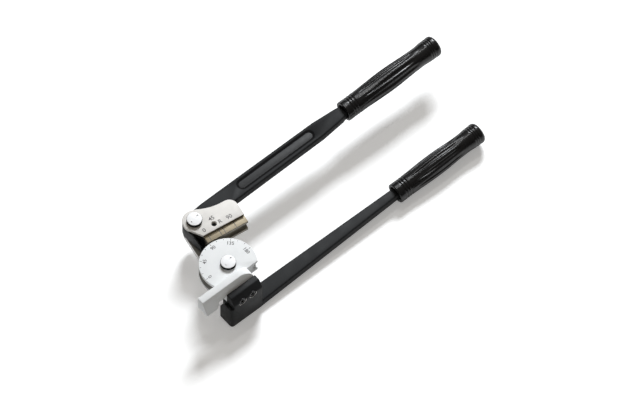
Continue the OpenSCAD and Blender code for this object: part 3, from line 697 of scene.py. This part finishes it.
def socketScrew(screw):
    head, edge, shank, tip = screw["head"], screw["edge"], screw["shank"], screwShape["tip"]
    under = -screw["height"]
    end = under - screw["length"]
    profile = [(0, end), (shank - tip, end), (shank, end + tip), (shank, under), (head, under),
               (head, -edge), (head - edge, 0), (0, 0)]
    socket = raised(hexagon(screw["flats"]), -screw["deep"], over)
    inner, deep, rise = screw["flats"] / 2, screwShape["mouthDeep"], screwShape["mouthRise"]
    mouth = lathed([(0, -deep), (inner, -deep), (inner + deep + rise, rise), (0, rise)], making["holeSteps"])
    return combined(lathed(profile, screwShape["around"]), [socket, mouth], "DIFFERENCE")


screws = [put(socketScrew(capScrew), moved(x, capScrew["sunk"] - half, block["screwZ"]) @ turned("X", 90))
          for x in block["screwX"]]
keep("armScrews", gathered(screws), blockPlace, "blackOxide", "base", ["arm_screws"])
print("screws made")

# shoe: grooved block with a marked ledge
shoe = {"u": (-1.2, 59.6), "face": -35.1, "back": -13.1, "grooveMid": -37.0, "grooveSteps": 28, "edge": 0.45,
        "ledge": -25.3, "sight": (19.0, -17.3), "sightRadius": 3.5, "sightDeep": 5.0, "sightLip": 0.2}
spread = math.degrees(math.acos((shoe["face"] - shoe["grooveMid"]) / layout["grooveRadius"]))
shoeEnd = [(shoe["face"], top), (shoe["back"], top), (shoe["back"], low), (shoe["face"], low)]
shoeEnd += arcPoints((shoe["grooveMid"], mid), layout["grooveRadius"], -spread, spread, shoe["grooveSteps"])
shoeSolid = rounded(put(raised(shoeEnd, *shoe["u"]), endView), shoe["edge"], segments=2, sharper=40)
sightHole = put(drill(shoe["sightRadius"], shoe["sightDeep"], shoe["sightLip"]), moved(*shoe["sight"], top))
shoeSolid = combined(shoeSolid, [sightHole], "DIFFERENCE")
for face in shoeSolid.faces:  # painted shade: the sides and groove get a darker finish than the machined ledge
    face.material_index = int(face.calc_center_median().z < top - shoe["edge"])
keep("shoeBlock", shoeSolid, pinPlace, "shoeBronze", "lever", ["shoe_block"],
     second="shoePaintedShade")
takeOff = {"marks": (4.5, 20.3, 26.25, 42.6), "halfWidth": 0.45, "inset": 0.5}
lines = [raised(oblong(u - takeOff["halfWidth"], u + takeOff["halfWidth"], shoe["face"] + takeOff["inset"],
                       shoe["ledge"]), top, top + making["markRise"]) for u in takeOff["marks"]]
keep("shoeMarks", gathered(lines), pinPlace, "markInk", "lever")
sunkScrew = put(socketScrew(coverScrew), moved(*shoe["sight"], top - coverScrew["sunk"]))
keep("shoeScrew", sunkScrew, pinPlace, "blackOxide", "lever", ["shoe_screw"])
print("shoe made")

# cover plate over the shoe
cover = {"radius": 16.0, "arc": (86, 207.5), "arcSteps": 40, "ledgeX": (-2.0, 59.4),
         "corner": 12.0, "cornerMid": (48.4, -7.0), "cornerSteps": 16,
         "hollow": 70.0, "hollowMid": (44.0, 75.0), "hollowArc": (270, 241.8), "hollowSteps": 20,
         "edge": 0.6, "sightLip": 0.5, "boreLip": 0.1, "darkReach": 0.1, "digits": 8.2,
         "labels": (("0", 3.2, -19.0), ("45", 20.4, -8.6), ("R", 27.4, -18.3), ("90", 41.0, -18.6))}
coverPlan = arcPoints((0, 0), cover["radius"], *cover["arc"], cover["arcSteps"])
coverPlan += [(x, shoe["ledge"]) for x in cover["ledgeX"]]
coverPlan += arcPoints(cover["cornerMid"], cover["corner"], 0, 90, cover["cornerSteps"])
coverPlan += arcPoints(cover["hollowMid"], cover["hollow"], *cover["hollowArc"], cover["hollowSteps"])
coverTop = top + layout["coverThick"]
coverPlate = rounded(raised(coverPlan, top, coverTop), cover["edge"], sharper=60)
holeDeep = layout["coverThick"] + over
coverHoles = [put(drill(shoe["sightRadius"], holeDeep, cover["sightLip"]), moved(*shoe["sight"], coverTop)),
              put(drill(layout["pinBore"], holeDeep, cover["boreLip"]), moved(0, 0, coverTop))]
coverPlate = combined(coverPlate, coverHoles, "DIFFERENCE")
for face in coverPlate.faces:  # painted shade: the plate's side over the ledge gets the dark shoe finish
    spot = face.calc_center_median()
    overLedge = spot.y < shoe["ledge"] + cover["darkReach"]
    face.material_index = int(overLedge and spot.z < coverTop - cover["edge"])
keep("shoePlate", coverPlate, pinPlace, "coverSatin", "lever", ["shoe_plate"],
     second="shoePaintedShade")
coverDigits = bmesh.new()
for text, u, v in cover["labels"]:
    writeInto(coverDigits, text, cover["digits"], moved(u, v, coverTop + lettering["rise"]))
keep("plateDigits", coverDigits, pinPlace, "markInk", "lever", smooth=lettering["smooth"])
print("cover plate made")

# lever: head, bar with a panel, neck
head = {"radius": 15.8, "arc": (80, 190), "arcSteps": 40, "cheek": (-8.8, -34.6), "shoulder": 58.0,
        "shoulderOut": 1.0, "backShare": 0.7, "backY": 7.9, "edge": 0.8, "seat": 0.1}
lever = {"stations": ((0.0, 3.8, 24.0), (23.7, 4.8, 26.0), (58.0, 4.8, 26.0), (211.0, 5.0, 24.4),
                      (247.0, 5.1, 18.4), (260.0, 5.8, 12.5)), "edge": 2.0}
panel = {"start": 85.0, "length": 111.0, "mid": 5.2, "floor": 5.0, "mouth": 8.2, "deep": 1.7, "rise": 0.25,
         "bite": 0.1, "edge": 0.12, "endSteps": 16}
pocket = {"low": 42.15, "wall": 1.6, "wallIn": 0.4, "wallShare": 0.25, "start": -14.5, "edge": -27.3,
          "end": -37.1, "slantEnd": 45.0}
shoeStart = shoe["u"][0]
cheekX, cheekY = head["cheek"]
pocketEnd, pocketBack = shoeStart - head["seat"], shoe["back"] + head["seat"]
headPlan = [(cheekX, cheekY), (pocketEnd, cheekY), (pocketEnd, pocketBack), (head["shoulder"], pocketBack),
            (head["shoulder"] + head["shoulderOut"], 0),
            (head["backShare"] * head["shoulder"], head["backY"])]
headPlan += arcPoints((0, 0), head["radius"], *head["arc"], head["arcSteps"])


def wallLine(v):  # inner side of the cheek's wall
    outerX, outerY = pocket["wallIn"] - head["radius"], -head["radius"] * pocket["wallShare"]
    return outerX + (v - outerY) * (cheekX - outerX) / (cheekY - outerY) + pocket["wall"]


pocketPlan = [(wallLine(pocket["end"]), pocket["end"]), (shoeStart, pocket["end"]),
              (shoeStart, pocket["edge"]), (wallLine(pocket["start"]), pocket["start"])]
tubePocket = raised(pocketPlan, pocket["low"], top + over)
slantPlan = [(pocket["start"] - over, top + over), (pocket["end"], top + over),
             (pocket["end"], pocket["slantEnd"])]
slant = put(raised(slantPlan, -head["radius"] - over, shoeStart), endView)
headSolid = rounded(raised(headPlan, low, top), head["edge"], sharper=40)
headSolid = put(combined(headSolid, [tubePocket, slant], "DIFFERENCE"), pinPlace)
upperEdge = [(x, middle + width / 2) for x, middle, width in lever["stations"]]
lowerEdge = [(x, middle - width / 2) for x, middle, width in lever["stations"]]
leverSolid = raised(lowerEdge + upperEdge[::-1], -barHalf, barHalf)
rounded(leverSolid, lever["edge"], segments=4, sharper=40)


def panelShape(radius, floor, roof):
    ends = arcPoints((panel["start"], panel["mid"]), radius, 90, 270, panel["endSteps"])
    ends += arcPoints((panel["start"] + panel["length"], panel["mid"]), radius, -90, 90, panel["endSteps"])
    return raised(ends, floor, roof)


def nearSpine(spot):  # closest point on the panel's middle line
    along = min(max(spot.x, panel["start"]), panel["start"] + panel["length"])
    return Vector((along, panel["mid"], spot.z))


panelSeat = barHalf - panel["deep"]
recess = panelShape(panel["floor"], panelSeat, barHalf + over)
flare = (panel["mouth"] - panel["floor"]) * (panel["deep"] + over) / panel["deep"]
for vert in recess.verts:  # the recess widens towards the bar's top
    if vert.co.z > barHalf:
        vert.co += (vert.co - nearSpine(vert.co)).normalized() * flare
leverSolid = put(combined(leverSolid, [recess], "DIFFERENCE"), leverBarPlace)
leverSolid = combined(leverSolid, [headSolid], "UNION")
tube = {"ringSteps": 24, "around": 96, "straight": 30.0}  # room for the tube past the lever's head
tubeRing = ringPoints((layout["bendLine"], mid), layout["hookRadius"], tube["ringSteps"])
tubeWay = put(lathed(tubeRing, tube["around"], closed=True), wheelPlace)
straightPlace = pinPlace @ moved(-tube["straight"], layout["bendLine"] - pinY, mid) @ turned("Y", 90)
straightWay = put(rod(layout["hookRadius"], 0, tube["straight"]), straightPlace)
pinWay = put(rod(layout["pinBore"], low - over, top + over), pinPlace)
leverSolid = combined(leverSolid, [tubeWay, straightWay, pinWay], "DIFFERENCE")
toBar = leverBarPlace.inverted()
for face in leverSolid.faces:  # painted shade: the recess's sides get a near-black finish
    spot = toBar @ face.calc_center_median()
    inMouth = (spot - nearSpine(spot)).length < panel["mouth"]
    face.material_index = int(inMouth and panelSeat - panel["bite"] < spot.z < barHalf - panel["bite"])
keep("upperHandle", leverSolid, blockPlace, "blackPaint", "lever", ["upper_handle"],
     second="paintedShadeBlack")
panelFloor = panelShape(panel["floor"] + panel["bite"], panelSeat - panel["bite"], panelSeat + panel["rise"])
rounded(panelFloor, panel["edge"], segments=2, sharper=60)
keep("leverPanel", panelFloor, leverBarPlace, "panelPaint", "lever")
print("lever made")

# moulded grips: rings at the front, long flutes, waist and flared end
grip = {"front": 13.9, "swell": 15.3, "waist": 13.4, "flare": 14.5, "bore": 6.05,
        "mouth": 10.5, "mouthDeep": 6.0, "mouthCorner": 0.5, "mouthEdge": 0.7, "mouthWall": 1.0,
        "frontEdge": ((1.1, 0.0), (0.4, 0.25)), "firstRow": 0.9, "fineRow": 0.42, "longRow": 0.8,
        "around": 360, "frontRings": (10.4, 14.4, 18.4), "endRings": (-3.2, 0.0, 3.2),
        "ringDeep": 0.75, "ringWidth": 0.85,
        "ringClear": (3.0, 4.0), "endRound": 5.0, "endArc": (8, 82), "endSteps": 10, "endFlat": 6.0,
        "endDome": 0.02, "flutes": 10, "fluteDeep": 1.5, "fluteStart": 0.1, "fluteWide": 0.27, "flat": 8.0,
        "fluteIn": (0.15, 0.34), "widen": (0.15, 0.5), "flatIn": (0.12, 0.17), "fadeOut": (0.64, 0.8),
        "smooth": 75}
flareShare = 0.92  # where the flared end begins, as a share of the length
gripKnots = ((0.0, grip["front"]), (0.12, grip["front"]), (0.47, grip["swell"]), (0.81, grip["waist"]),
             (flareShare, grip["flare"]), (1.0, grip["flare"]))


def gripRadius(share):
    for (start, first), (end, last) in zip(gripKnots, gripKnots[1:]):
        if share <= end:
            blend = (1 - math.cos(math.pi * (share - start) / (end - start))) / 2
            return first + (last - first) * blend
    return grip["flare"]


def eased(value, start, end):
    part = min(1.0, max(0.0, (value - start) / (end - start)))
    return part * part * (3 - 2 * part)


def gripProfile(length):
    rings = [*grip["frontRings"], *(flareShare * length + step for step in grip["endRings"])]
    longStart, longEnd = rings[2] + grip["ringClear"][0], rings[3] - grip["ringClear"][1]
    mouth, deep, corner, edge = grip["mouth"], grip["mouthDeep"], grip["mouthCorner"], grip["mouthEdge"]
    profile = [(grip["bore"], deep), (mouth - corner, deep), (mouth, deep - corner), (mouth, edge),
               (mouth + edge, 0.0)]
    profile += [(grip["front"] - inset, height) for inset, height in grip["frontEdge"]]
    straight = length - grip["endRound"]
    height = grip["firstRow"]
    while height < straight:  # close rows at the rings, long ones along the flutes
        dip = sum(grip["ringDeep"] * math.exp(-((height - ring) / grip["ringWidth"]) ** 2) for ring in rings)
        profile.append((gripRadius(height / length) - dip, height))
        height += grip["longRow"] if longStart < height < longEnd else grip["fineRow"]
    endMid = (gripRadius(1.0) - grip["endRound"], straight)
    profile += arcPoints(endMid, grip["endRound"], *grip["endArc"], grip["endSteps"])
    return profile + [(grip["endFlat"], length - grip["endDome"]), (0.0, length)]


def mouldedGrip(length, fluteTurn):
    shape = lathed(gripProfile(length), grip["around"])
    flat = math.radians(grip["flat"])
    for vert in shape.verts:
        radius = math.hypot(vert.co.x, vert.co.y)
        share = vert.co.z / length
        stays = 1 - eased(share, *grip["fadeOut"])
        fade = eased(share, *grip["fluteIn"]) * stays
        if radius < grip["mouth"] + grip["mouthWall"] or fade <= 0:
            continue
        turn = (math.atan2(vert.co.y, vert.co.x) - math.radians(fluteTurn)) * grip["flutes"] / math.tau
        across = abs(turn - round(turn))  # 0 in a flute, 0.5 on a ridge
        width = grip["fluteStart"] + (grip["fluteWide"] - grip["fluteStart"]) * eased(share, *grip["widen"])
        fromRidge = min(flat, (0.5 - across) * math.tau / grip["flutes"])
        dip = grip["fluteDeep"] * fade * math.exp(-(across / width) ** 3)
        dip += radius * (1 - math.cos(flat) / math.cos(fromRidge)) * eased(share, *grip["flatIn"]) * stays
        vert.co.x *= (radius - dip) / radius
        vert.co.y *= (radius - dip) / radius
    return shape


lowerGrip = {"length": 142.0, "start": (235.0, 0.0), "fluteTurn": 0.0}
upperGrip = {"length": 156.0, "start": (255.0, 5.8), "fluteTurn": -12.4}
for name, own, bar, body, node in (("lowerGrip", lowerGrip, lowerBarPlace, "base", "lower_grip"),
                                   ("upperGrip", upperGrip, leverBarPlace, "lever", "upper_grip")):
    place = bar @ moved(*own["start"], 0) @ turned("Y", 90)
    keep(name, mouldedGrip(own["length"], own["fluteTurn"]), place, "gripPlastic", body, [node],
         grip["smooth"])
print("grips made")

# inner pieces keep their solids and get their finishes
innerFinishes = {"wheel_bush": "bushBronze", "shoe_bush": "bushBronze", "arm_dowels": "linkSteel",
                 "shoe_dowels": "linkSteel", "plate_screws": "blackOxide"}
for node, paint in innerFinishes.items():
    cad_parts[node].data.materials.clear()
    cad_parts[node].data.materials.append(paints[paint])
print("inner pieces finished:", len(innerFinishes))

# paper floor that shows white and keeps the shadows
paper = {"base": (0.97, 0.97, 0.97), "metal": 0.0, "shine": 0.1, "rough": 0.9, "lift": 0.3,
         "size": 4.0, "place": (0.2, 0.05, -0.0004)}
floorShape = bmesh.new()
bmesh.ops.create_grid(floorShape, x_segments=1, y_segments=1, size=paper["size"])
floorMesh = bpy.data.meshes.new("floor")
floorShape.to_mesh(floorMesh)
floorShape.free()
floor = bpy.data.objects.new("floor", floorMesh)
bpy.context.scene.collection.objects.link(floor)
floor.location = paper["place"]
floorPaint, floorTree, floorShader = startFinish("floorPaper", paper)
rays = floorTree.nodes.new("ShaderNodeLightPath").outputs
mirrored = mathNode(floorTree, "MAXIMUM", rays["Is Glossy Ray"], rays["Is Transmission Ray"])
seen = mathNode(floorTree, "MAXIMUM", rays["Is Camera Ray"], mirrored)
glow = mathNode(floorTree, "MULTIPLY", seen, paper["lift"])
white = opaque(paper["base"])
feedAll(floorTree, floorShader.inputs, {"Base Color": white, "Roughness": paper["rough"],
                                        "Emission Color": white, "Emission Strength": glow})
floorMesh.materials.append(floorPaint)

# light: a faint sky and two soft boxes that look at the middle of the stage
skyLook = {"low": 0.04, "high": 0.24, "tint": (1.0, 0.93, 0.82)}
keyLight = {"aim": (0.8, 0.7, 1.0), "away": 5.0, "size": (1.8, 1.0), "power": 262.0,
            "tint": (0.97, 1.0, 1.03)}
topLight = {"aim": (0.279, 0.251, 0.926), "away": 1.625, "size": (0.4, 0.1), "power": 2.2,
            "tint": (1, 1, 1)}
stageMid = Vector((0.18, 0.06, 0.03))
world = bpy.data.worlds.new("studioWorld")
world.use_nodes = True
sky = world.node_tree
split = sky.nodes.new("ShaderNodeSeparateXYZ")
feed(sky, split.inputs["Vector"], sky.nodes.new("ShaderNodeTexCoord").outputs["Generated"])
level = rangeNode(sky, split.outputs["Z"], (0.0, 1.0), skyLook["low"], skyLook["high"])
feedAll(sky, sky.nodes["Background"].inputs, {"Color": opaque(skyLook["tint"]), "Strength": level})
bpy.context.scene.world = world


def softBox(name, look):
    lamp = bpy.data.lights.new(name, "AREA")
    lamp.shape, lamp.energy, lamp.color = "RECTANGLE", look["power"], look["tint"]
    lamp.size, lamp.size_y = look["size"]
    holder = bpy.data.objects.new(name, lamp)
    bpy.context.scene.collection.objects.link(holder)
    line = Vector(look["aim"]).normalized()
    holder.location = stageMid + line * look["away"]
    across = line.cross(Vector((1, 0, 0))).normalized()
    holder.rotation_euler = Matrix((across.cross(line), across, line)).transposed().to_euler()


softBox("keyLight", keyLight)
softBox("topLight", topLight)

# camera: a long lens, with the wheel's axis at its place in the picture
photo = {"azimuth": -40.0, "elevation": 59.5, "lens": 900.0, "sensor": 36.0, "pixel": 0.001283,
         "wheelPixel": (228.2, 263.5), "image": (640, 400), "clipEnd": 200.0}
camera = bpy.data.objects.new("camera", bpy.data.cameras.new("camera"))
bpy.context.scene.collection.objects.link(camera)
camera.data.lens, camera.data.sensor_width = photo["lens"], photo["sensor"]
camera.data.clip_end = photo["clipEnd"]
away = photo["image"][0] * photo["pixel"] * photo["lens"] / photo["sensor"]
side, lift = math.radians(photo["azimuth"]), math.radians(photo["elevation"])
back = Vector((math.sin(side) * math.cos(lift), -math.cos(side) * math.cos(lift), math.sin(lift)))
right = Vector((math.cos(side), math.sin(side), 0))
upward = back.cross(right)
aim = toMetres @ Vector((*layout["wheelAxis"], top))
aim += right * (photo["image"][0] / 2 - photo["wheelPixel"][0]) * photo["pixel"]
aim -= upward * (photo["image"][1] / 2 - photo["wheelPixel"][1]) * photo["pixel"]
camera.location = aim + back * away
camera.rotation_mode = "QUATERNION"
camera.rotation_quaternion = (-back).to_track_quat("-Z", "Y")
bpy.context.scene.camera = camera
bpy.context.scene.view_settings.view_transform = "Standard"
print("studio ready")
